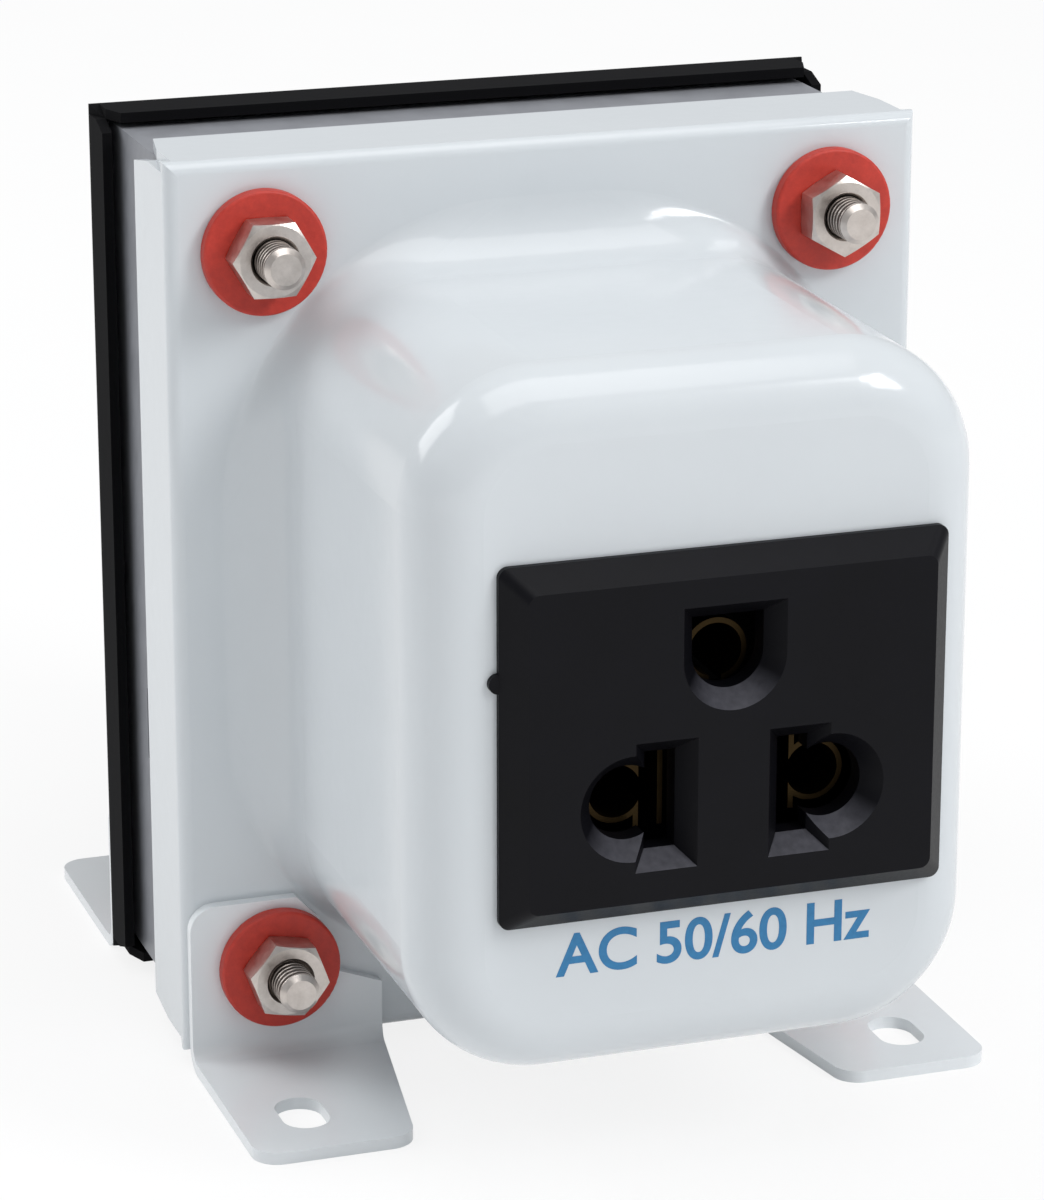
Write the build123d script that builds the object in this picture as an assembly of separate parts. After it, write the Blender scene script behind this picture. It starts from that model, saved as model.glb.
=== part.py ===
from build123d import *
import os
from math import cos, radians, sin, tan

# Plug-in voltage transformer: a laminated core clamped between two pressed steel covers,
# with a three-hole socket in the front cover. Millimetres, X to the right, front at -Y, Z up.
# Every piece is drawn about the centre of the core, and is moved to the floor frame when saved.

# Laminated core, lying on its side. All its proportions are those of the standard
# E and I lamination, in which the centre leg is two side legs wide.
side_leg_width = 14.3
stack_depth = 29.0
pack_count = 6
core_hole = 5.0
side_recess_height = 7.4
side_recess_depth = 2.0
side_recess_drop = 17.0
recessed_packs = (1, 2, 3)

# Winding on the centre leg
bobbin_wall = 1.2
bobbin_flange = 1.5
bobbin_slack = 0.2
bobbin_end_gap = 0.3
inner_winding_build = 4.6
outer_winding_build = 4.6
interlayer_build = 0.4
wrap_build = 0.5
winding_corner = 3.0
layer_gap = 0.1

# Pressed steel covers
cover_sheet = 1.0
core_side_gap = 1.0
core_end_gap = 0.6
front_lip_depth = 11.8
rear_lip_depth = 6.6
fold_radius = 1.2
notch_width = 2.0
notch_start = 1.0
bell_depth = 43.0
bell_side_room = 4.55
bell_end_room = 3.5
bell_corner = 12.6
bell_edge = 6.0
flare_reach = 6.0
flare_corner = 29.0
flare_steps = 6

# Bolts, nuts, sleeves and fibre washers
bolt_diameter = 4.0
bolt_proud = 3.6
bolt_end_chamfer = 0.5
hex_flats = 7.0
hex_face_inset = 0.1
head_height = 2.8
nut_height = 3.2
nut_countersink = 0.35
thread_clearance = 0.05
sleeve_wall = 0.3
sleeve_clearance = 0.05
cover_hole_clearance = 0.2
washer_diameter = 12.0
washer_thickness = 1.6
washer_edge_round = 0.3
washer_clearance = 0.1
nut_turn = {(-1, 1): 0.0, (1, 1): 30.0, (-1, -1): -10.0, (1, -1): 20.0}

# Feet, bent from sheet, one under each lower bolt end
foot_sheet = 1.2
foot_bend = 1.5
foot_to_cover_gap = 0.2
foot_to_bell_gap = 0.4
foot_edge_inset = 0.4
foot_width = 19.4
foot_reach = 25.0
foot_taper = 4.0
foot_corner = 2.6
tab_above_bolt = 6.8
tab_upper_width = 12.4
tab_shoulder_width = 14.6
tab_shoulder_drop = 1.4
tab_inner_drop = 3.2
slot_width = 4.6
slot_length = 7.2
slot_from_edge = 6.6
slot_from_tab = 16.8

# Socket moulding, drawn about its own centre
socket_shift = 1.45
socket_lift = -0.4
bezel_width = 42.6
bezel_height = 33.8
bezel_corner = 1.0
bezel_rim = 0.6
bezel_bevel = 2.0
bezel_bevel_height = 2.4
body_step = 2.2
body_depth = 20.0
body_wall = 1.8
panel_clearance = 0.3
face_wall = 4.0
latch_width = 8.0
latch_reach = 1.2
latch_length = 5.0
latch_gap = 0.1
nub_radius = 0.9
nub_height = 6.3
back_plate = 1.8
back_clearance = 0.1

# Holes in the socket, on the spacings that plugs have
pins_drop = 5.9
blade_spacing = 12.7
round_spacing = 19.0
earth_rise = 12.4
blade_hole_width = 2.9
blade_hole_height = 9.2
round_hole = 7.0
earth_hole_width = 6.8
earth_hole_below = 2.6
earth_hole_above = 4.3
funnel_depth = 2.0
funnel_width = 1.5

# Brass contacts behind the holes
contact_sheet = 0.5
contact_bore = 5.0
contact_front_gap = 1.0
jaw_gap = 1.8
jaw_height = 7.2
earth_slit = 1.2
tab_width = 4.0
tab_length = 6.0
tab_slot_clearance = 0.1

# Solder tags, leads and thermal fuse
tag_sheet = 0.6
tag_width = 3.0
tag_length = 8.0
tag_seat = 5.0
tag_height = 8.0
lead_diameter = 2.2
lead_bend = 2.4
lead_end_room = 0.8
lead_off_tags = 0.2
joint_gap = 0.1
earth_lead_off_bobbin = 1.4
earth_lead_height = 18.5
earth_lead_bend = 4.0
fuse_diameter = 4.0
fuse_length = 12.0
fuse_wire = 0.9
fuse_wire_reach = 10.0
fuse_wire_return = 4.0
fuse_wire_bend = 1.2

# Cord grommet in the rear cover
grommet_bore = 7.4
grommet_neck = 11.6
grommet_lip_diameter = 16.0
grommet_lip = 2.4
grommet_inner_diameter = 14.0
grommet_inner_lip = 1.8
grommet_drop = 14.0
grommet_round = 0.8
grommet_fit = 0.1

# Sizes of the core and covers that follow from the ones above
core_width = 5 * side_leg_width
core_height = 6 * side_leg_width
bolt_x = 2 * side_leg_width
bolt_z = 2.5 * side_leg_width
window_length = 3 * side_leg_width
window_height = side_leg_width
leg_half = side_leg_width
core_face = stack_depth / 2
flange_face = core_face + cover_sheet
bell_face = flange_face + bell_depth
flange_width = core_width + 2 * (core_side_gap + cover_sheet)
flange_height = core_height + 2 * (core_end_gap + cover_sheet)
bell_width = window_length + 2 * (bell_side_room + cover_sheet)
bell_height = 2 * (leg_half + window_height) + 2 * (bell_end_room + cover_sheet)
sleeve_outer = bolt_diameter + 2 * (sleeve_clearance + sleeve_wall)
cover_hole = sleeve_outer + 2 * cover_hole_clearance
hex_corner = hex_flats / 2 / cos(radians(30))

# Layers of the coil, each counted outwards from the centre leg
tube_start = bobbin_slack + bobbin_wall
inner_winding_start = tube_start + layer_gap
interlayer_start = inner_winding_start + inner_winding_build + layer_gap
outer_winding_start = interlayer_start + interlayer_build + layer_gap
wrap_start = outer_winding_start + outer_winding_build + layer_gap
coil_build = wrap_start + wrap_build
coil_face = core_face + coil_build
bobbin_half_length = window_length / 2 - bobbin_end_gap
tag_x = bobbin_half_length - bobbin_flange / 2
tag_tip = coil_face - tag_seat + tag_length

# Sizes of the socket, and where it stands
bezel_proud = bezel_rim + bezel_bevel_height
socket_front = bell_face + bezel_proud
body_width = bezel_width - 2 * body_step
body_height = bezel_height - 2 * body_step
body_back = bell_face - body_depth
plate_face = body_back + back_plate
face_back = socket_front - face_wall
contact_front = face_back - contact_front_gap
tab_end = body_back - tab_length
earth_height = earth_rise - pins_drop
socket_place = Pos(socket_shift, 0, socket_lift)

# The floor frame: its origin is under the middle of the whole part
floor_drop = flange_height / 2 + foot_to_cover_gap + foot_sheet
front_reach = socket_front
rear_reach = bell_face + grommet_lip
to_floor_frame = Pos(0, (front_reach - rear_reach) / 2, floor_drop)

# Lengths that only help the modelling
overshoot = 1.0
notch_overshoot = 0.1
plane_tolerance = 0.01

sides = (-1, 1)
corners = [(-1, 1), (1, 1), (-1, -1), (1, -1)]


def facing(distance):
    """Plane facing the front, this far in front of the core's centre."""
    return Plane.XZ.offset(distance)


def block(outline, start, stop):
    """Prism of an outline between two distances in front of the core's centre."""
    return extrude(facing(start) * outline, stop - start, dir=(0, -1, 0))


def rod(diameter, start, stop, x=0.0, z=0.0):
    return block(Pos(x, z) * Circle(diameter / 2), start, stop)


def edges_at(shape, distance):
    """Edges that lie in the plane this far in front of the core's centre."""
    return shape.edges().filter_by_position(Axis.Y, -distance - plane_tolerance,
                                            -distance + plane_tolerance)


def wire_along(points, diameter, bends):
    """Round wire through the points, with one bend radius for each inner point."""
    path = FilletPolyline(*points, radius=bends)
    return sweep(Plane(origin=path @ 0, z_dir=path % 0) * Circle(diameter / 2), path=path)


def turned_to_rear(shape):
    return shape.rotate(Axis.Z, 180)


def bell_outline(inset):
    """The drawn bell's walls, or their inside at this inset."""
    radius = bell_corner - inset
    return RectangleRounded(bell_width - 2 * inset, bell_height - 2 * inset, radius)


def flare_outline(inset, reach):
    """The bell's spreading foot, this far out from the wall that stands on it."""
    share = reach / (flare_reach + inset)
    radius = (1 - share) * (bell_corner - inset) + share * flare_corner
    growth = reach - inset
    return RectangleRounded(bell_width + 2 * growth, bell_height + 2 * growth, radius)


def flare(inset, face):
    """Hollow curve from the flange up to the bell, tight at the corners, beside the washers."""
    radius = flare_reach + inset
    sections = []
    for step in range(flare_steps + 1):
        turn = radians(90 * step / flare_steps)
        outline = flare_outline(inset, radius * (1 - sin(turn)))
        sections.append(facing(face + radius * (1 - cos(turn))) * outline)
    return loft(sections)


def pressed_form(inset, open_end, face):
    """Solid under one side of the pressed sheet: a flat tray with the drawn bell on it."""
    tray = block(Rectangle(flange_width - 2 * inset, flange_height - 2 * inset), open_end, face)
    if fold_radius > inset:
        tray = fillet(edges_at(tray, face), fold_radius - inset)
    bell = block(bell_outline(inset), flange_face + flare_reach, face + bell_depth)
    bell = fillet(edges_at(bell, face + bell_depth), bell_edge - inset)
    return tray + (flare(inset, face) + bell)


def notch_outline(half, lip_end):
    """Triangle that a lip loses at its end, on a lip that reaches this far from the middle."""
    near = flange_face - notch_start
    far = lip_end - overshoot
    cut = notch_width * (near - far) / (near - lip_end)
    return [(half, near), (half - cut, far), (half, far)]


def corner_notches(lip_end):
    """Wedges that open the lips at the four corners of a folded sheet."""
    wedges = []
    through = cover_sheet + overshoot
    for sx, sz in corners:
        points = notch_outline(flange_width / 2 + notch_overshoot, lip_end)
        plan = Polygon(*[(sx * across, -along) for across, along in points], align=None)
        start = sz * (flange_height / 2 - cover_sheet)
        wedges.append(extrude(Plane.XY.offset(start) * plan, through, dir=(0, 0, sz)))
        points = notch_outline(flange_height / 2 + notch_overshoot, lip_end)
        side = Polygon(*[(-along, sz * across) for across, along in points], align=None)
        start = sx * (flange_width / 2 - cover_sheet)
        wedges.append(extrude(Plane.YZ.offset(start) * side, through, dir=(sx, 0, 0)))
    return wedges


def cover_shell(lip_depth):
    """Pressed sheet with its bell, its lips this deep, and the holes for the bolts."""
    lip_end = flange_face - lip_depth
    outside = pressed_form(0.0, lip_end, flange_face)
    inside = pressed_form(cover_sheet, lip_end - overshoot, core_face)
    shell = outside - inside
    for wedge in corner_notches(lip_end):
        shell -= wedge
    for sx, sz in corners:
        shell -= rod(cover_hole, core_face - overshoot, flange_face + overshoot,
                     sx * bolt_x, sz * bolt_z)
    return shell


def front_cover():
    opening = Rectangle(body_width + 2 * panel_clearance, body_height + 2 * panel_clearance)
    cutter = block(opening, bell_face - 2 * cover_sheet, bell_face + overshoot)
    return cover_shell(front_lip_depth) - socket_place * cutter


def rear_cover():
    hole = rod(grommet_neck + 2 * grommet_fit, bell_face - 2 * cover_sheet,
               bell_face + overshoot, z=-grommet_drop)
    return turned_to_rear(cover_shell(rear_lip_depth) - hole)


def cord_grommet():
    lip = rod(grommet_lip_diameter, bell_face, bell_face + grommet_lip, z=-grommet_drop)
    lip = fillet(edges_at(lip, bell_face + grommet_lip), grommet_round)
    neck = rod(grommet_neck, bell_face - cover_sheet, bell_face, z=-grommet_drop)
    inner_start = bell_face - cover_sheet - grommet_inner_lip
    inner = rod(grommet_inner_diameter, inner_start, bell_face - cover_sheet, z=-grommet_drop)
    bore = rod(grommet_bore, inner_start - overshoot, bell_face + grommet_lip + overshoot,
               z=-grommet_drop)
    return turned_to_rear(lip + neck + inner - bore)


def i_outline():
    """The I of a lamination, at the right."""
    return Pos((core_width - side_leg_width) / 2, 0) * Rectangle(side_leg_width, core_height)


def e_outline():
    """The E of a lamination, with its back at the left."""
    outline = Rectangle(core_width, core_height) - i_outline()
    for sz in sides:
        outline -= Pos(0, sz * 1.5 * side_leg_width) * Rectangle(window_length, window_height)
    return outline


def core_packs(outline):
    """Packs of sheets, stacked with their joints on alternate sides."""
    pack_depth = stack_depth / pack_count
    recess = Pos(-core_width / 2, -side_recess_drop) * Rectangle(
        2 * side_recess_depth, side_recess_height)
    solids = []
    for index in range(pack_count):
        front = core_face - index * pack_depth
        pack = block(outline, front - pack_depth, front)
        if index % 2:
            pack = pack.mirror(Plane.YZ)
        for sx, sz in corners:
            pack -= rod(core_hole, -core_face, core_face, sx * bolt_x, sz * bolt_z)
        if index in recessed_packs:
            pack -= block(recess, front - pack_depth, front)
        solids += pack.solids()
    return Compound(solids)


def tube_layer(start, build):
    """A closed layer round the centre leg, from one height above it to the next."""
    depth = 2 * (core_face + start)
    height = 2 * (leg_half + start)
    end = bobbin_half_length - bobbin_flange - layer_gap
    radius = winding_corner + start
    outer = RectangleRounded(depth + 2 * build, height + 2 * build, radius + build)
    inner = RectangleRounded(depth, height, radius)
    return extrude(Plane.YZ.offset(-end) * (outer - inner), 2 * end)


def bobbin():
    bore = Rectangle(2 * (core_face + bobbin_slack), 2 * (leg_half + bobbin_slack))
    tube = RectangleRounded(2 * (core_face + tube_start), 2 * (leg_half + tube_start),
                            winding_corner + tube_start)
    rim = RectangleRounded(2 * coil_face, 2 * (leg_half + coil_build), winding_corner)
    body = extrude(Plane.YZ * tube, bobbin_half_length, both=True)
    for sx in sides:
        end = Plane.YZ.offset(sx * bobbin_half_length)
        body += extrude(end * rim, bobbin_flange, dir=(-sx, 0, 0))
    body -= extrude(Plane.YZ * bore, bobbin_half_length + overshoot, both=True)
    slot = Box(tag_sheet + layer_gap, 2 * tag_seat, tag_width + layer_gap)
    for sx in sides:
        for sy in sides:
            body -= Pos(sx * tag_x, sy * coil_face, tag_height) * slot
    return body


def solder_tags(sy):
    tag = Box(tag_sheet, tag_length, tag_width)
    middle = sy * (tag_tip - tag_length / 2)
    return Compound([Pos(sx * tag_x, middle, tag_height) * tag for sx in sides])


def hexagon_body(height):
    """Hexagon from the core's centre to the front, its corners turned down on both ends."""
    drop = (hex_corner - hex_flats / 2) * tan(radians(30))
    flat = hex_flats / 2 - hex_face_inset
    prism = block(RegularPolygon(hex_corner, 6), 0, height)
    profile = Polygon((0, 0), (flat, 0), (hex_corner, -drop), (hex_corner, drop - height),
                      (flat, -height), (0, -height), align=None)
    return prism & revolve(profile, Axis.Y)


def outer_face(sz):
    """Face that a washer seats on: the cover above, the foot's tab below."""
    return flange_face if sz > 0 else flange_face + foot_sheet


def at_corners(make):
    """The four copies of a fastener, one on each bolt's axis."""
    return Compound([Pos(sx * bolt_x, 0, sz * bolt_z) * make(sx, sz) for sx, sz in corners])


def bolt(sx, sz):
    seat = outer_face(sz) + washer_thickness
    tip = seat + nut_height + bolt_proud
    shank = rod(bolt_diameter, -seat, tip)
    shank = chamfer(edges_at(shank, tip), bolt_end_chamfer)
    return shank + Pos(0, seat + head_height, 0) * hexagon_body(head_height)


def nut(sx, sz):
    bore = rod(bolt_diameter + 2 * thread_clearance, -overshoot, nut_height + overshoot)
    body = hexagon_body(nut_height) - bore
    mouth = edges_at(body, nut_height).sort_by(SortBy.RADIUS)[0]
    body = chamfer(mouth, nut_countersink)
    seat = outer_face(sz) + washer_thickness
    return Pos(0, -seat, 0) * Rot(0, -nut_turn[(sx, sz)], 0) * body


def sleeve(sx, sz):
    end = outer_face(sz)
    return rod(sleeve_outer, -end, end) - rod(sleeve_outer - 2 * sleeve_wall, -end, end)


def washer(sz):
    """Front washer, seated on what the bolt clamps."""
    seat = outer_face(sz)
    ring = rod(washer_diameter, seat, seat + washer_thickness)
    ring = fillet(ring.edges().filter_by(GeomType.CIRCLE), washer_edge_round)
    return ring - rod(bolt_diameter + 2 * washer_clearance, seat - overshoot,
                      seat + washer_thickness + overshoot)


def foot_profile():
    """The bent sheet seen from its side, as along and up from the core's centre."""
    back = -flange_face
    front = back - foot_sheet
    floor = -floor_drop
    plate_top = floor + foot_sheet
    reach = back - foot_reach
    top = tab_above_bolt - bolt_z
    outline = Polygon((back, top), (front, top), (front, plate_top), (reach, plate_top),
                      (reach, floor), (back, floor), align=None)
    inner = outline.vertices().sort_by_distance((front, plate_top))[0]
    outline = fillet(inner, foot_bend)
    outer = outline.vertices().sort_by_distance((back, floor))[0]
    return fillet(outer, foot_bend + foot_sheet)


def foot():
    """Front left foot: a tab behind the washer, bent to a plate on the floor."""
    edge = foot_edge_inset - flange_width / 2
    inner = edge + foot_width
    top = tab_above_bolt - bolt_z
    tab = Polygon((edge, -floor_drop), (edge, top), (edge + tab_upper_width, top),
                  (edge + tab_shoulder_width, -bolt_z - tab_shoulder_drop),
                  (inner, -bolt_z - tab_inner_drop), (inner, -floor_drop), align=None)
    tab = fillet(tab.vertices().sort_by_distance((edge, top))[0], foot_corner)
    tab -= offset(flare_outline(0.0, flare_reach), foot_to_bell_gap)
    front = -flange_face - foot_reach
    plan = Polygon((edge, -flange_face), (inner, -flange_face), (inner, -flange_face - foot_sheet),
                   (inner - foot_taper, front), (edge, front), align=None)
    plan = fillet(plan.vertices().filter_by_position(Axis.Y, front, front), foot_corner)
    body = extrude(Plane.YZ.offset(edge) * foot_profile(), foot_width, dir=(1, 0, 0))
    body &= block(tab, flange_face, flange_face + foot_reach)
    body &= extrude(Plane.XY.offset(-floor_drop) * plan, floor_drop, dir=(0, 0, 1))
    body -= rod(cover_hole, flange_face - overshoot, flange_face + foot_sheet + overshoot,
                -bolt_x, -bolt_z)
    slot = Rot(0, 0, 90) * SlotOverall(slot_length, slot_width)
    slot = Pos(edge + slot_from_edge, -flange_face - slot_from_tab) * slot
    return body - extrude(Plane.XY.offset(-floor_drop) * slot, foot_sheet + overshoot)


def blade_outline(growth):
    return Rectangle(blade_hole_width + 2 * growth, blade_hole_height + 2 * growth)


def round_outline(growth):
    return Circle(round_hole / 2 + growth)


def earth_outline(growth):
    """D-shaped hole, flat above and round below."""
    half = earth_hole_width / 2 + growth
    middle = earth_hole_width / 2 - earth_hole_below
    top = earth_hole_above + growth
    sides_and_top = Polyline((half, middle), (half, top), (-half, top), (-half, middle))
    bottom = ThreePointArc((-half, middle), (0, middle - half), (half, middle))
    return make_face(sides_and_top + bottom)


def funnelled_hole(outline, x, z):
    """Hole through the face, with a funnel at its mouth."""
    place = Pos(x, z)
    narrow = facing(socket_front - funnel_depth) * place * outline(0.0)
    wide = facing(socket_front) * place * outline(funnel_width)
    straight = block(place * outline(0.0), face_back - overshoot, socket_front + overshoot)
    return straight + loft([narrow, wide])


def latch(sx):
    """Wedge that snaps behind the panel."""
    wall = body_width / 2
    root = wall - body_wall / 2
    front = cover_sheet + latch_gap - bell_face
    rear = front + latch_length
    outline = Polygon((root, front), (wall + latch_reach, front), (wall, rear), (root, rear),
                      align=None)
    wedge = extrude(Plane.XY * outline, latch_width / 2, both=True)
    return wedge if sx > 0 else wedge.mirror(Plane.YZ)


def socket_housing():
    rim = block(RectangleRounded(bezel_width, bezel_height, bezel_corner), bell_face,
                bell_face + bezel_rim)
    wide = RectangleRounded(bezel_width, bezel_height, bezel_corner)
    narrow = RectangleRounded(bezel_width - 2 * bezel_bevel, bezel_height - 2 * bezel_bevel,
                              bezel_corner)
    bevel = loft([facing(bell_face + bezel_rim) * wide, facing(socket_front) * narrow])
    nub = rod(2 * nub_radius, bell_face, bell_face + bezel_rim, -bezel_width / 2, nub_height)
    housing = rim + bevel + nub + block(Rectangle(body_width, body_height), body_back, bell_face)
    cavity = Rectangle(body_width - 2 * body_wall, body_height - 2 * body_wall)
    housing -= block(cavity, body_back - overshoot, face_back)
    for sx in sides:
        housing -= funnelled_hole(blade_outline, sx * blade_spacing / 2, -pins_drop)
        housing -= funnelled_hole(round_outline, sx * round_spacing / 2, -pins_drop)
        housing += latch(sx)
    housing -= funnelled_hole(earth_outline, 0, earth_height)
    return socket_place * housing


def tab_outline(clearance):
    return Rectangle(tab_width + 2 * clearance, contact_sheet + 2 * clearance)


def socket_back_plate():
    outline = Rectangle(body_width - 2 * (body_wall + back_clearance),
                        body_height - 2 * (body_wall + back_clearance))
    for x, z in ((-round_spacing / 2, -pins_drop), (round_spacing / 2, -pins_drop),
                 (0, earth_height)):
        outline -= Pos(x, z) * tab_outline(tab_slot_clearance)
    return socket_place * block(outline, body_back, plate_face)


def contact(spring, base, tab_x, tab_z):
    """Spring, base and tab of one contact, bent from one sheet."""
    body = block(spring, plate_face, contact_front)
    body += block(base, plate_face, plate_face + contact_sheet)
    body += block(Pos(tab_x, tab_z) * tab_outline(0.0), tab_end, plate_face)
    return body


def neutral_contact():
    """Right-hand contact: jaws for a blade, and a clasp for a round pin open to them."""
    pin_x = round_spacing / 2
    jaw_right = (blade_spacing - jaw_gap) / 2
    cheek_left = (blade_spacing + jaw_gap) / 2
    reach = contact_bore / 2 + contact_sheet
    jaw = Pos(jaw_right - contact_sheet / 2, 0) * Rectangle(contact_sheet, jaw_height)
    clasp = Pos(pin_x, 0) * Circle(reach)
    clasp += Pos(cheek_left + contact_sheet / 2, 0) * Rectangle(contact_sheet, jaw_height)
    clasp -= Pos(pin_x, 0) * Circle(contact_bore / 2)
    clasp -= Pos(cheek_left - reach, 0) * Rectangle(2 * reach, 2 * reach)
    left = jaw_right - contact_sheet
    right = pin_x + reach
    base = Pos((left + right) / 2, 0) * Rectangle(right - left, jaw_height)
    lowered = Pos(0, -pins_drop)
    body = contact(lowered * (jaw + clasp), lowered * base, pin_x, -pins_drop)
    return socket_place * body


def live_contact():
    return socket_place * (socket_place.inverse() * neutral_contact()).mirror(Plane.YZ)


def earth_contact():
    reach = contact_bore / 2 + contact_sheet
    spring = Circle(reach) - Circle(contact_bore / 2)
    spring -= Pos(0, -reach / 2) * Rectangle(earth_slit, reach)
    base = Rectangle(2 * reach, 2 * reach)
    raised = Pos(0, earth_height)
    return socket_place * contact(raised * spring, raised * base, 0, earth_height)


def lead_on_tab():
    """How far a lead's middle lies above the middle of a contact's tab."""
    return (contact_sheet + lead_diameter) / 2 + joint_gap


def coil_lead(sx):
    """From a solder tag of the coil, round to the tab of a pin contact."""
    start_x = sx * (tag_x - (tag_sheet + lead_diameter) / 2 - joint_gap)
    start_y = -coil_face - lead_end_room
    turn_y = -tag_tip - lead_off_tags - lead_diameter / 2
    end_x = socket_shift + sx * round_spacing / 2
    end_z = socket_lift - pins_drop + lead_on_tab()
    end_y = -body_back + lead_end_room
    points = [(start_x, start_y, tag_height), (start_x, turn_y, tag_height),
              (end_x, turn_y, end_z), (end_x, end_y, end_z)]
    return wire_along(points, lead_diameter, [lead_bend, lead_bend])


def earth_lead():
    """From the earth contact's tab, past the bobbin, to the front of the core."""
    start_z = socket_lift + earth_height + lead_on_tab()
    turn_y = -tag_tip - lead_off_tags - lead_diameter / 2
    end_x = bobbin_half_length + earth_lead_off_bobbin + lead_diameter / 2
    points = [(socket_shift, -body_back + lead_end_room, start_z), (socket_shift, turn_y, start_z),
              (end_x, turn_y, earth_lead_height), (end_x, -core_face, earth_lead_height)]
    return wire_along(points, lead_diameter, [lead_bend, earth_lead_bend])


def thermal_fuse():
    """Fuse on the rear of the coil, one wire to the left tag and one into the coil."""
    middle_y = coil_face + layer_gap + fuse_diameter / 2
    end = fuse_length / 2
    body = Pos(0, middle_y, 0) * Rot(0, 90, 0) * Cylinder(fuse_diameter / 2, fuse_length)
    turn_x = -end - fuse_wire_reach
    tag_face = -tag_x + tag_sheet / 2
    to_tag = [(-end, middle_y, 0), (turn_x, middle_y, 0), (turn_x, middle_y, tag_height),
              (tag_face, middle_y, tag_height)]
    to_coil = [(end, middle_y, 0), (end + fuse_wire_return, middle_y, 0),
               (end + fuse_wire_return, coil_face, 0)]
    body += wire_along(to_tag, fuse_wire, [fuse_wire_bend, fuse_wire_bend])
    return body + wire_along(to_coil, fuse_wire, [fuse_wire_bend])


front_left_foot = foot()
front_right_foot = front_left_foot.mirror(Plane.YZ)
washers = at_corners(lambda sx, sz: washer(sz))

pieces = {
    "front_cover": front_cover(),
    "rear_cover": rear_cover(),
    "e_laminations": core_packs(e_outline()),
    "i_laminations": core_packs(i_outline()),
    "bobbin": bobbin(),
    "inner_winding": tube_layer(inner_winding_start, inner_winding_build),
    "interlayer_insulation": tube_layer(interlayer_start, interlayer_build),
    "outer_winding": tube_layer(outer_winding_start, outer_winding_build),
    "outer_wrap": tube_layer(wrap_start, wrap_build),
    "output_tags": solder_tags(-1),
    "input_tags": solder_tags(1),
    "thermal_fuse": thermal_fuse(),
    "through_bolts": at_corners(bolt),
    "front_nuts": at_corners(nut),
    "bolt_sleeves": at_corners(sleeve),
    "front_washers": washers,
    "rear_washers": turned_to_rear(washers),
    "front_left_foot": front_left_foot,
    "front_right_foot": front_right_foot,
    "rear_left_foot": front_left_foot.mirror(Plane.XZ),
    "rear_right_foot": front_right_foot.mirror(Plane.XZ),
    "socket_housing": socket_housing(),
    "socket_back_plate": socket_back_plate(),
    "live_contact": live_contact(),
    "neutral_contact": neutral_contact(),
    "earth_contact": earth_contact(),
    "live_lead": coil_lead(-1),
    "neutral_lead": coil_lead(1),
    "earth_lead": earth_lead(),
    "cord_grommet": cord_grommet(),
}

os.makedirs("parts", exist_ok=True)
for name, piece in pieces.items():
    export_step(to_floor_frame * piece, f"parts/{name}.step")
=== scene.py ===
import math

import bpy
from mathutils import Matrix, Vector


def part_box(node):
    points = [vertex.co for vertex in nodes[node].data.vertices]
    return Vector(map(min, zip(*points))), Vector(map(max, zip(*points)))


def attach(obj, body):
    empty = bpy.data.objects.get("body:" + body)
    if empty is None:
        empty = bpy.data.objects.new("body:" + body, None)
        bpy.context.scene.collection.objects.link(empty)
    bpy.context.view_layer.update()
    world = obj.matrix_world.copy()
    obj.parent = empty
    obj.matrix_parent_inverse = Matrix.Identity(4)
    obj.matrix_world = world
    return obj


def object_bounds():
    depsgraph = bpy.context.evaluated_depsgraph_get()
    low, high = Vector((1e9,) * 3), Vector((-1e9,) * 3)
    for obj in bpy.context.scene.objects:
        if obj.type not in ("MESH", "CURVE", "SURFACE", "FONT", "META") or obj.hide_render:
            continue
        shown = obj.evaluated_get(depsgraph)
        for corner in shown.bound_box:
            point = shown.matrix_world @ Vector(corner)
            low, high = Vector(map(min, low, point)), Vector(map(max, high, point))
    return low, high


# Finishes, lettering, light and camera for the plug-in transformer. Metres, front at -Y, Z up.

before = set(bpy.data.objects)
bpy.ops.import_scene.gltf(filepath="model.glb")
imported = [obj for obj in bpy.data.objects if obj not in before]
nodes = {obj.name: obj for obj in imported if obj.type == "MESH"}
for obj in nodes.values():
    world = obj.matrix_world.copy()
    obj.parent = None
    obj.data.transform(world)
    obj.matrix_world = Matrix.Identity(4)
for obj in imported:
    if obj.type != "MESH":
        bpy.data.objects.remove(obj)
cad_low, cad_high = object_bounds()

MM = 0.001

# Height of the bezel's sloping upper edge, which the socket's painted reflection leaves out
BEZEL_BAND = 3.0 * MM
# Half the depth over which a lip's rubbed finish ends
RUBBED_FADE = 0.5 * MM

# Sizes of patterns, in millimetres. A mould's grain is really about 0.1 mm, and is drawn coarser
# so that it shows.
MOULD_GRAIN = 0.3
SHEET_THICKNESS = 0.5
M4_PITCH = 0.7

# Places read from the frame
core_low, core_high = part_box("e_laminations")
core_middle = (core_low + core_high) / 2
socket_low, socket_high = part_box("socket_housing")
socket_middle = (socket_low + socket_high) / 2
bell_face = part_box("front_cover")[0].y
nuts_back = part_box("front_nuts")[1].y


def linear(hex_colour):
    """An sRGB hex value as a linear colour."""
    channels = [int(hex_colour[i:i + 2], 16) / 255 for i in (1, 3, 5)]
    return [c / 12.92 if c <= 0.04045 else ((c + 0.055) / 1.055) ** 2.4 for c in channels] + [1.0]


def per_mm(size):
    """Noise scale for lumps of this many millimetres."""
    return 1 / (size * MM)


def bands_mm(pitch):
    """Wave scale for bands this many millimetres apart."""
    return math.pi / 10 / (pitch * MM)


def put(tree, node, inputs):
    """Sets a node's inputs, each to a value or to the socket that it is linked from."""
    for name, value in inputs.items():
        if isinstance(value, bpy.types.NodeSocket):
            tree.links.new(value, node.inputs[name])
        else:
            node.inputs[name].default_value = value


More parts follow.
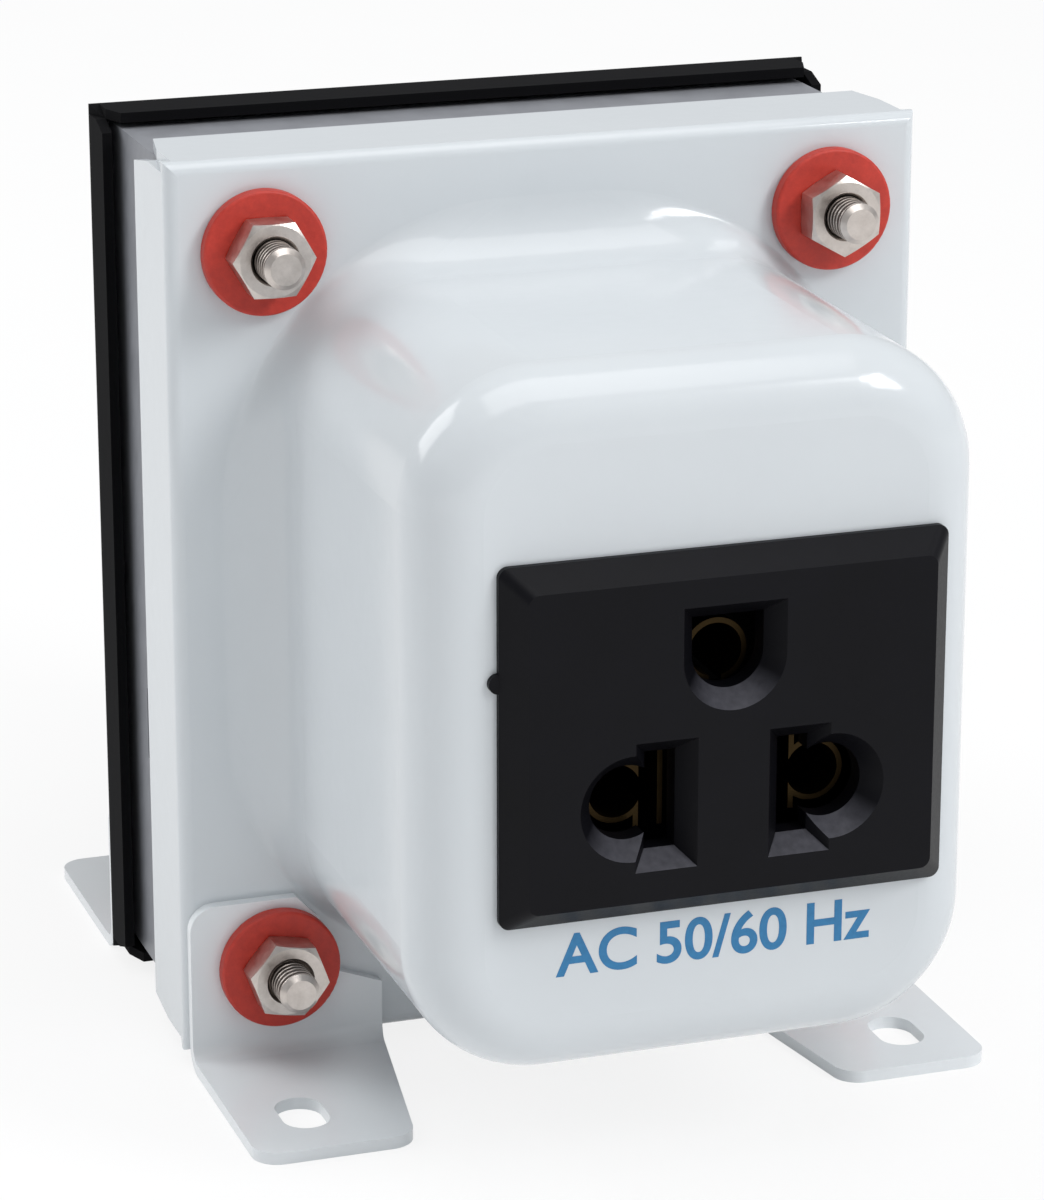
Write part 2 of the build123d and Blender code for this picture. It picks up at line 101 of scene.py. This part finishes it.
def add(tree, kind, inputs=None, **settings):
    """Adds a node with its settings and links."""
    node = tree.nodes.new(kind)
    for name, value in settings.items():
        setattr(node, name, value)
    put(tree, node, inputs or {})
    return node


def new_material(name):
    """A material with its tree, its shader and the object's own coordinates."""
    material = bpy.data.materials.new(name)
    material.use_nodes = True
    tree = material.node_tree
    place = add(tree, "ShaderNodeTexCoord").outputs["Object"]
    return material, tree, tree.nodes["Principled BSDF"], place


# Finishes of the covers, the core and the fasteners

def stoving_enamel(name, dark, light, gloss, specular, dull_end):
    """Enamel sprayed on pressed steel and baked: a hard gloss over a faint orange peel.

    In front of dull_end it is rubbed matt."""
    material, tree, shader, place = new_material(name)
    cloud = add(tree, "ShaderNodeTexNoise", {"Vector": place, "Scale": per_mm(20), "Detail": 3.0})
    peel = add(tree, "ShaderNodeTexNoise", {"Vector": place, "Scale": per_mm(1.8), "Detail": 1.0})
    colour = add(tree, "ShaderNodeMix", {0: cloud.outputs["Fac"], 6: linear(dark),
                                         7: linear(light)}, data_type="RGBA")
    sheen = add(tree, "ShaderNodeMapRange", {"Value": cloud.outputs["Fac"],
                                             "To Min": gloss - 0.04, "To Max": gloss + 0.04})
    along = add(tree, "ShaderNodeSeparateXYZ", {"Vector": place}).outputs["Y"]
    lip_wear_and_painted_sheen = add(tree, "ShaderNodeMapRange", {"Value": along, "From Min": dull_end - RUBBED_FADE,
                                              "From Max": dull_end + RUBBED_FADE,
                                              "To Min": 0.95, "To Max": 0.0})
    roughness = add(tree, "ShaderNodeMath", {0: sheen.outputs[0], 1: lip_wear_and_painted_sheen.outputs[0]},
                    operation="MAXIMUM")
    surface = add(tree, "ShaderNodeBump", {"Height": peel.outputs["Fac"], "Strength": 0.5,
                                           "Distance": 0.02 * MM})
    put(tree, shader, {"Base Color": colour.outputs[2], "Roughness": roughness.outputs[0],
                       "IOR": 1.5, "Specular IOR Level": specular, "Normal": surface.outputs[0]})
    return material


def silicon_steel_edges():
    """Cut edges of electrical sheet under clear varnish: fine stripes, half matt."""
    material, tree, shader, place = new_material("silicon_steel_edges")
    # Each sheet's edge stands out or sits back a little.
    sheets = add(tree, "ShaderNodeTexWave", {"Vector": place, "Scale": bands_mm(SHEET_THICKNESS),
                                             "Detail": 0.0}, bands_direction="Y")
    stain = add(tree, "ShaderNodeTexNoise", {"Vector": place, "Scale": per_mm(4), "Detail": 4.0})
    tone = add(tree, "ShaderNodeMix", {0: 0.5, 2: sheets.outputs["Fac"],
                                       3: stain.outputs["Fac"]})
    colour = add(tree, "ShaderNodeMix", {0: tone.outputs[0], 6: linear("#787A7F"),
                                         7: linear("#9EA0A6")}, data_type="RGBA")
    sheen = add(tree, "ShaderNodeMapRange", {"Value": stain.outputs["Fac"],
                                             "To Min": 0.38, "To Max": 0.6})
    surface = add(tree, "ShaderNodeBump", {"Height": sheets.outputs["Fac"], "Strength": 0.4,
                                           "Distance": 0.04 * MM})
    put(tree, shader, {"Base Color": colour.outputs[2], "Roughness": sheen.outputs[0],
                       "Metallic": 0.2, "Normal": surface.outputs[0]})
    return material


def zinc_plate(name, thread_end):
    """Turned steel plated with zinc: warm grey, cloudy. In front of thread_end it is threaded."""
    material, tree, shader, place = new_material(name)
    cloud = add(tree, "ShaderNodeTexNoise", {"Vector": place, "Scale": per_mm(1.5), "Detail": 5.0,
                                             "Roughness": 0.65})
    grain = add(tree, "ShaderNodeTexNoise", {"Vector": place, "Scale": per_mm(0.25)})
    colour = add(tree, "ShaderNodeMix", {0: cloud.outputs["Fac"], 6: linear("#A89F98"),
                                         7: linear("#EBE3DD")}, data_type="RGBA")
    sheen = add(tree, "ShaderNodeMapRange", {"Value": cloud.outputs["Fac"],
                                             "To Min": 0.22, "To Max": 0.5})
    surface = add(tree, "ShaderNodeBump", {"Height": grain.outputs["Fac"], "Strength": 0.4,
                                           "Distance": 0.03 * MM})
    turns = add(tree, "ShaderNodeTexWave", {"Vector": place, "Scale": bands_mm(M4_PITCH),
                                            "Detail": 0.0}, bands_direction="Y")
    along = add(tree, "ShaderNodeSeparateXYZ", {"Vector": place})
    in_front = add(tree, "ShaderNodeMath", {0: along.outputs["Y"], 1: thread_end},
                   operation="LESS_THAN")
    # The bolt's flat end isn't threaded, only the faces whose normal lies across its length.
    normal = add(tree, "ShaderNodeNewGeometry").outputs["Normal"]
    towards = add(tree, "ShaderNodeSeparateXYZ", {"Vector": normal})
    on_side = add(tree, "ShaderNodeMath", {0: towards.outputs["Y"], 1: 0.0, 2: 0.5},
                  operation="COMPARE")
    threaded = add(tree, "ShaderNodeMath", {0: in_front.outputs[0], 1: on_side.outputs[0]},
                   operation="MULTIPLY")
    height = add(tree, "ShaderNodeMath", {0: turns.outputs["Fac"], 1: threaded.outputs[0]},
                 operation="MULTIPLY")
    thread = add(tree, "ShaderNodeBump", {"Height": height.outputs[0], "Strength": 0.6,
                                          "Distance": 0.3 * MM, "Normal": surface.outputs[0]})
    # The grooves of the thread are painted dark: painted shade.
    groove = add(tree, "ShaderNodeMath", {0: threaded.outputs[0], 1: height.outputs[0]},
                 operation="SUBTRACT")
    groove_shaded = add(tree, "ShaderNodeMix", {0: groove.outputs[0], 6: colour.outputs[2],
                                        7: linear("#3A2E28")}, data_type="RGBA")
    put(tree, shader, {"Base Color": groove_shaded.outputs[2], "Roughness": sheen.outputs[0],
                       "Metallic": 1.0, "Normal": thread.outputs[0]})
    return material


def vulcanised_fibre():
    """Vulcanised fibre punched from sheet: mottled red, dull, with short fibres in it."""
    material, tree, shader, place = new_material("red_vulcanised_fibre")
    fibre = add(tree, "ShaderNodeTexNoise", {"Vector": place, "Scale": per_mm(0.9), "Detail": 5.0,
                                             "Roughness": 0.7})
    colour = add(tree, "ShaderNodeMix", {0: fibre.outputs["Fac"], 6: linear("#9E1C13"),
                                         7: linear("#D2402F")}, data_type="RGBA")
    sheen = add(tree, "ShaderNodeMapRange", {"Value": fibre.outputs["Fac"],
                                             "To Min": 0.35, "To Max": 0.65})
    surface = add(tree, "ShaderNodeBump", {"Height": fibre.outputs["Fac"], "Strength": 0.6,
                                           "Distance": 0.05 * MM})
    put(tree, shader, {"Base Color": colour.outputs[2], "Roughness": sheen.outputs[0],
                       "IOR": 1.5, "Normal": surface.outputs[0]})
    return material


# Finishes of the socket, the coil and the leads

def moulded(name, dark, light, gloss, specular):
    """Plastic or rubber from a mould: even colour, with the mould's fine grain."""
    material, tree, shader, place = new_material(name)
    cloud = add(tree, "ShaderNodeTexNoise", {"Vector": place, "Scale": per_mm(7), "Detail": 3.0})
    grain = add(tree, "ShaderNodeTexNoise", {"Vector": place, "Scale": per_mm(MOULD_GRAIN)})
    colour = add(tree, "ShaderNodeMix", {0: cloud.outputs["Fac"], 6: linear(dark),
                                         7: linear(light)}, data_type="RGBA")
    sheen = add(tree, "ShaderNodeMapRange", {"Value": grain.outputs["Fac"],
                                             "To Min": gloss - 0.06, "To Max": gloss + 0.06})
    surface = add(tree, "ShaderNodeBump", {"Height": grain.outputs["Fac"], "Strength": 0.5,
                                           "Distance": 0.012 * MM})
    put(tree, shader, {"Base Color": colour.outputs[2], "Roughness": sheen.outputs[0],
                       "IOR": 1.5, "Specular IOR Level": specular, "Normal": surface.outputs[0]})
    return material


def phenolic_with_painted_sheen():
    """Moulded phenolic: black with a fine satin grain, and a painted reflection in grey.

    The reflection is painted on the holes' lower lips, the faces that turn forward and upward,
    below the bezel's own sloping edge: there it stands for the shine of the light from above."""
    material, tree, shader, place = new_material("black_moulded_phenolic")
    grain = add(tree, "ShaderNodeTexNoise", {"Vector": place, "Scale": per_mm(MOULD_GRAIN)})
    cloud = add(tree, "ShaderNodeTexNoise", {"Vector": place, "Scale": per_mm(7), "Detail": 3.0})
    sheen_mottle = add(tree, "ShaderNodeTexNoise", {"Vector": place, "Scale": per_mm(0.8),
                                              "Detail": 4.0})
    black = add(tree, "ShaderNodeMix", {0: cloud.outputs["Fac"], 6: linear("#08080B"),
                                        7: linear("#0D0D13")}, data_type="RGBA")
    # Grey of the painted reflection, mottled a little
    grey = add(tree, "ShaderNodeMix", {0: sheen_mottle.outputs["Fac"], 6: linear("#303035"),
                                       7: linear("#505057")}, data_type="RGBA")
    normal = add(tree, "ShaderNodeNewGeometry").outputs["Normal"]
    towards = add(tree, "ShaderNodeSeparateXYZ", {"Vector": normal})
    forward = add(tree, "ShaderNodeMath", {0: towards.outputs["Y"], 1: -0.3},
                  operation="LESS_THAN")
    upward = add(tree, "ShaderNodeMapRange", {"Value": towards.outputs["Z"], "From Min": 0.35,
                                              "From Max": 0.75})
    height = add(tree, "ShaderNodeSeparateXYZ", {"Vector": place}).outputs["Z"]
    inside = add(tree, "ShaderNodeMath", {0: height, 1: socket_high.z - BEZEL_BAND},
                 operation="LESS_THAN")
    lip = add(tree, "ShaderNodeMath", {0: forward.outputs[0], 1: inside.outputs[0]},
              operation="MULTIPLY")
    # The painted reflection falls on the lips where they turn upward.
    lip_wear_and_painted_sheen = add(tree, "ShaderNodeMath", {0: lip.outputs[0], 1: upward.outputs[0]},
                 operation="MULTIPLY")
    colour = add(tree, "ShaderNodeMix", {0: lip_wear_and_painted_sheen.outputs[0], 6: black.outputs[2],
                                         7: grey.outputs[2]}, data_type="RGBA")
    sheen = add(tree, "ShaderNodeMapRange", {"Value": grain.outputs["Fac"],
                                             "To Min": 0.36, "To Max": 0.48})
    surface = add(tree, "ShaderNodeBump", {"Height": grain.outputs["Fac"], "Strength": 0.5,
                                           "Distance": 0.012 * MM})
    put(tree, shader, {"Base Color": colour.outputs[2], "Roughness": sheen.outputs[0],
                       "IOR": 1.5, "Specular IOR Level": 0.13, "Normal": surface.outputs[0]})
    return material


def rolled_strip(name, dark, light, gloss):
    """Metal strip, rolled bright: fine lines from the rolls, and light tarnish."""
    material, tree, shader, place = new_material(name)
    tarnish = add(tree, "ShaderNodeTexNoise", {"Vector": place, "Scale": per_mm(2), "Detail": 4.0})
    lines = add(tree, "ShaderNodeTexWave", {"Vector": place, "Scale": bands_mm(0.15),
                                            "Distortion": 2.0, "Detail": 0.0},
                bands_direction="Z")
    colour = add(tree, "ShaderNodeMix", {0: tarnish.outputs["Fac"], 6: linear(dark),
                                         7: linear(light)}, data_type="RGBA")
    sheen = add(tree, "ShaderNodeMapRange", {"Value": tarnish.outputs["Fac"],
                                             "To Min": gloss - 0.08, "To Max": gloss + 0.08})
    surface = add(tree, "ShaderNodeBump", {"Height": lines.outputs["Fac"], "Strength": 0.4,
                                           "Distance": 0.01 * MM})
    put(tree, shader, {"Base Color": colour.outputs[2], "Roughness": sheen.outputs[0],
                       "Metallic": 1.0, "Normal": surface.outputs[0]})
    return material


def enamelled_copper_wire():
    """Copper wire under clear enamel, close wound: round turns 0.8 mm apart."""
    material, tree, shader, place = new_material("enamelled_copper_wire")
    turns = add(tree, "ShaderNodeTexWave", {"Vector": place, "Scale": bands_mm(0.8),
                                            "Detail": 0.0}, bands_direction="X")
    stain = add(tree, "ShaderNodeTexNoise", {"Vector": place, "Scale": per_mm(5), "Detail": 3.0})
    # Each turn is painted darker towards the gaps between turns: painted shade between round
    # wires.
    colour = add(tree, "ShaderNodeMix", {0: turns.outputs["Fac"], 6: linear("#6A2D12"),
                                         7: linear("#C4733C")}, data_type="RGBA")
    sheen = add(tree, "ShaderNodeMapRange", {"Value": stain.outputs["Fac"],
                                             "To Min": 0.22, "To Max": 0.4})
    surface = add(tree, "ShaderNodeBump", {"Height": turns.outputs["Fac"], "Distance": 0.4 * MM})
    put(tree, shader, {"Base Color": colour.outputs[2], "Roughness": sheen.outputs[0],
                       "Metallic": 0.85, "Normal": surface.outputs[0]})
    return material


def wound_sheet(name, dark, light, gloss, lap):
    """Thin insulating sheet wound on in laps, each lap's edge a low step."""
    material, tree, shader, place = new_material(name)
    laps = add(tree, "ShaderNodeTexWave", {"Vector": place, "Scale": bands_mm(lap),
                                           "Distortion": 0.4, "Detail": 1.0},
               bands_direction="X", wave_profile="SAW")
    fibre = add(tree, "ShaderNodeTexNoise", {"Vector": place, "Scale": per_mm(1), "Detail": 4.0})
    colour = add(tree, "ShaderNodeMix", {0: laps.outputs["Fac"], 6: linear(dark),
                                         7: linear(light)}, data_type="RGBA")
    sheen = add(tree, "ShaderNodeMapRange", {"Value": fibre.outputs["Fac"],
                                             "To Min": gloss - 0.1, "To Max": gloss + 0.1})
    surface = add(tree, "ShaderNodeBump", {"Height": laps.outputs["Fac"], "Strength": 0.6,
                                           "Distance": 0.1 * MM})
    put(tree, shader, {"Base Color": colour.outputs[2], "Roughness": sheen.outputs[0],
                       "Normal": surface.outputs[0]})
    return material


def earth_pvc():
    """Extruded PVC of an earth lead: green with a yellow stripe, soft shine."""
    material, tree, shader, place = new_material("green_and_yellow_pvc")
    stripe = add(tree, "ShaderNodeTexWave", {"Vector": place, "Scale": bands_mm(5),
                                             "Detail": 0.0}, bands_direction="DIAGONAL")
    yellow = add(tree, "ShaderNodeMath", {0: stripe.outputs["Fac"], 1: 0.6},
                 operation="GREATER_THAN")
    dust = add(tree, "ShaderNodeTexNoise", {"Vector": place, "Scale": per_mm(0.8)})
    colour = add(tree, "ShaderNodeMix", {0: yellow.outputs[0], 6: linear("#2C7A31"),
                                         7: linear("#E0C024")}, data_type="RGBA")
    sheen = add(tree, "ShaderNodeMapRange", {"Value": dust.outputs["Fac"],
                                             "To Min": 0.35, "To Max": 0.5})
    put(tree, shader, {"Base Color": colour.outputs[2], "Roughness": sheen.outputs[0]})
    return material


# Nothing of the front cover or the feet lies as far forward as cad_low, so they shine all over.
pale_enamel = stoving_enamel("pale_grey_stoving_enamel", "#CDD2D6", "#D3D8DB", 0.14, 0.5,
                             cad_low.y)
# The feet have the front cover's enamel, painted paler to stand for the brighter light on them.
foot_enamel_painted_paler = stoving_enamel("grey_enamel_painted_paler", "#E0E4E7", "#E6EAEC", 0.24, 0.5,
                             cad_low.y)
# The rear cover's lips lie beside the core, in front of its rear face.
black_enamel = stoving_enamel("black_stoving_enamel", "#050507", "#09090C", 0.24, 0.16,
                              core_high.y)
steel_edges = silicon_steel_edges()
# The bolts are threaded as far back as the nuts reach. The nuts' outsides are plain.
plated_bolt = zinc_plate("zinc_plated_bolt", nuts_back)
plated_nut = zinc_plate("zinc_plated_nut", cad_low.y)
red_fibre = vulcanised_fibre()
socket_phenolic = phenolic_with_painted_sheen()
bobbin_nylon = moulded("natural_moulded_nylon", "#D9CFB8", "#E8E0CE", 0.45, 0.5)
sleeve_nylon = moulded("extruded_nylon_tube", "#CBC6B6", "#D9D5C9", 0.35, 0.5)
grommet_rubber = moulded("moulded_black_rubber", "#101010", "#181817", 0.6, 0.4)
brown_pvc = moulded("extruded_brown_pvc", "#552A18", "#673522", 0.42, 0.5)
blue_pvc = moulded("extruded_blue_pvc", "#1C4A97", "#295CAE", 0.42, 0.5)
green_yellow_pvc = earth_pvc()
# The contacts are painted near black: painted shade deep inside the socket's holes.
contact_brass_painted_dark = rolled_strip("brass_strip_painted_dark", "#2A2116", "#433620", 0.45)
tinned_brass = rolled_strip("tinned_brass_strip", "#ABA597", "#CBC6BC", 0.34)
fuse_can = rolled_strip("drawn_aluminium_can", "#A6A29B", "#C0BDB6", 0.36)
copper_wire = enamelled_copper_wire()
yellow_tape = wound_sheet("yellow_polyester_tape", "#AE8110", "#D8A820", 0.3, 12)
kraft_paper = wound_sheet("insulating_kraft_paper", "#A98650", "#C6A56E", 0.75, 20)

# The pieces that have each finish
FINISHES = {
    pale_enamel: ["front_cover"],
    foot_enamel_painted_paler: ["front_left_foot", "front_right_foot", "rear_left_foot", "rear_right_foot"],
    black_enamel: ["rear_cover"],
    steel_edges: ["e_laminations", "i_laminations"],
    plated_bolt: ["through_bolts"],
    plated_nut: ["front_nuts"],
    red_fibre: ["front_washers", "rear_washers"],
    socket_phenolic: ["socket_housing", "socket_back_plate"],
    contact_brass_painted_dark: ["live_contact", "neutral_contact", "earth_contact"],
    bobbin_nylon: ["bobbin"],
    copper_wire: ["inner_winding", "outer_winding"],
    kraft_paper: ["interlayer_insulation"],
    yellow_tape: ["outer_wrap"],
    tinned_brass: ["output_tags", "input_tags"],
    fuse_can: ["thermal_fuse"],
    sleeve_nylon: ["bolt_sleeves"],
    brown_pvc: ["live_lead"],
    blue_pvc: ["neutral_lead"],
    green_yellow_pvc: ["earth_lead"],
    grommet_rubber: ["cord_grommet"],
}
for finish, names in FINISHES.items():
    for name in names:
        nodes[name].data.materials.clear()
        nodes[name].data.materials.append(finish)


# Generic print under the socket

def screen_ink():
    """Blue ink screened on enamel: matt, a little thin where the mesh let less through."""
    material, tree, shader, place = new_material("blue_screen_ink")
    thin = add(tree, "ShaderNodeTexNoise", {"Vector": place, "Scale": per_mm(0.6),
                                            "Detail": 3.0})
    colour = add(tree, "ShaderNodeMix", {0: thin.outputs["Fac"], 6: linear("#1C6796"),
                                         7: linear("#2F80B4")}, data_type="RGBA")
    sheen = add(tree, "ShaderNodeMapRange", {"Value": thin.outputs["Fac"],
                                             "To Min": 0.35, "To Max": 0.5})
    put(tree, shader, {"Base Color": colour.outputs[2], "Roughness": sheen.outputs[0],
                       "IOR": 1.5})
    return material


# Capitals of Blender's own font are this share of its size.
CAPITAL_SHARE = 0.69
PRINT_HEIGHT = 3.9 * MM
STROKE_GROWTH = 0.1 * MM
# From the middle of the core down to the middle of the print
PRINT_DROP = 20.9 * MM
INK_THICKNESS = 0.02 * MM

bpy.ops.object.select_all(action="DESELECT")
bpy.ops.object.text_add(location=(0, 0, 0))
supply_print = bpy.context.object
supply_print.name = "supply_print"
supply_print.data.body = "AC 50/60 Hz"
supply_print.data.size = PRINT_HEIGHT / CAPITAL_SHARE
supply_print.data.align_x = "CENTER"
supply_print.data.align_y = "CENTER"
supply_print.data.offset = STROKE_GROWTH
supply_print.data.extrude = INK_THICKNESS
bpy.ops.object.convert(target="MESH")
supply_print = bpy.context.object
supply_print.rotation_euler = (math.radians(90), 0, 0)
supply_print.location = (socket_middle.x, bell_face, core_middle.z - PRINT_DROP)
bpy.ops.object.transform_apply(location=True, rotation=True, scale=True)
supply_print.data.materials.clear()
supply_print.data.materials.append(screen_ink())
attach(supply_print, "root")


# Floor, light and camera

FLOOR_SIDE = 12.0
# Share of plain white in the floor that the camera sees. The rest is lit paper with the shadow.
FLOOR_GLOW = 0.84
# Strength of the surround's light on the object. The camera sees the surround as plain white.
FILL_STRENGTH = 0.48
LAMP_DISTANCE = 1.1


def white_paper():
    """Matt white paper. The camera and glossy surfaces see it near white; its back is clear."""
    material, tree, shader, place = new_material("matt_white_paper")
    fibre = add(tree, "ShaderNodeTexNoise", {"Vector": place, "Scale": per_mm(40)})
    colour = add(tree, "ShaderNodeMix", {0: fibre.outputs["Fac"], 6: linear("#EFEFEF"),
                                         7: linear("#F5F5F5")}, data_type="RGBA")
    put(tree, shader, {"Base Color": colour.outputs[2], "Roughness": 0.9,
                       "Specular IOR Level": 0.0})
    ray = add(tree, "ShaderNodeLightPath")
    direct = add(tree, "ShaderNodeMath", {0: ray.outputs["Is Camera Ray"],
                                          1: ray.outputs["Is Glossy Ray"]}, operation="MAXIMUM")
    seen = add(tree, "ShaderNodeMath", {0: direct.outputs[0],
                                        1: ray.outputs["Is Transmission Ray"]},
               operation="MAXIMUM")
    share = add(tree, "ShaderNodeMath", {0: seen.outputs[0], 1: FLOOR_GLOW},
                operation="MULTIPLY")
    white = add(tree, "ShaderNodeEmission", {"Strength": 1.0})
    lifted = add(tree, "ShaderNodeMixShader", {0: share.outputs[0], 1: shader.outputs[0],
                                               2: white.outputs[0]})
    back = add(tree, "ShaderNodeNewGeometry").outputs["Backfacing"]
    clear = add(tree, "ShaderNodeBsdfTransparent")
    sided = add(tree, "ShaderNodeMixShader", {0: back, 1: lifted.outputs[0],
                                              2: clear.outputs[0]})
    put(tree, tree.nodes["Material Output"], {"Surface": sided.outputs[0]})
    return material


bpy.ops.mesh.primitive_plane_add(size=FLOOR_SIDE, location=(0, 0, 0))
floor = bpy.context.object
floor.name = "floor"
floor.data.materials.append(white_paper())

world = bpy.data.worlds.new("soft_studio")
world.use_nodes = True
tree = world.node_tree
fill = add(tree, "ShaderNodeBackground", {"Color": linear("#FAFCFF"),
                                          "Strength": FILL_STRENGTH})
white = add(tree, "ShaderNodeBackground", {"Color": linear("#FFFFFF"), "Strength": 1.0})
ray = add(tree, "ShaderNodeLightPath")
surround = add(tree, "ShaderNodeMixShader", {0: ray.outputs["Is Camera Ray"],
                                             1: fill.outputs[0], 2: white.outputs[0]})
put(tree, tree.nodes["World Output"], {"Surface": surround.outputs[0]})
bpy.context.scene.world = world


def softbox(name, turn, rise, width, height, power):
    """A lamp turned this many degrees to the right of the front and raised from the floor."""
    lamp = bpy.data.lights.new(name, "AREA")
    lamp.shape = "RECTANGLE"
    lamp.size = width
    lamp.size_y = height
    lamp.energy = power
    turn, rise = math.radians(turn), math.radians(rise)
    away = Vector((math.sin(turn) * math.cos(rise), -math.cos(turn) * math.cos(rise),
                   math.sin(rise)))
    holder = bpy.data.objects.new(name, lamp)
    holder.location = core_middle + LAMP_DISTANCE * away
    holder.rotation_euler = away.to_track_quat("Z", "Y").to_euler()
    bpy.context.collection.objects.link(holder)


softbox("front_lamp", 42, 36, 0.3, 0.35, 4.8)
softbox("left_lamp", -125, 32, 0.6, 0.6, 4.0)
softbox("top_lamp", 0, 80, 0.9, 0.9, 5.2)

# Camera, fitted to the edges of the flange, the bolts and the bell in the photograph. The
# eye is counted from the middle of the front flange's outer face.
FOCAL_PIXELS = 4540
LONG_SIDE_PIXELS = 1200
YAW_DEGREES = 18.77
PITCH_DEGREES = 17.75
SENSOR_WIDTH = 36.0
EYE = Vector((-138.93, -400.33, 134.09)) * MM
COVER_SHEET = 1.0 * MM

flange_middle = Vector((0, core_low.y - COVER_SHEET, core_middle.z))
lens = bpy.data.cameras.new("camera")
lens.sensor_width = SENSOR_WIDTH
lens.lens = lens.sensor_width * FOCAL_PIXELS / LONG_SIDE_PIXELS
lens.clip_start = 10 * MM
camera = bpy.data.objects.new("camera", lens)
camera.location = flange_middle + EYE
camera.rotation_euler = (math.radians(90 - PITCH_DEGREES), 0, math.radians(-YAW_DEGREES))
bpy.context.collection.objects.link(camera)
bpy.context.scene.camera = camera
bpy.context.scene.view_settings.view_transform = "Standard"
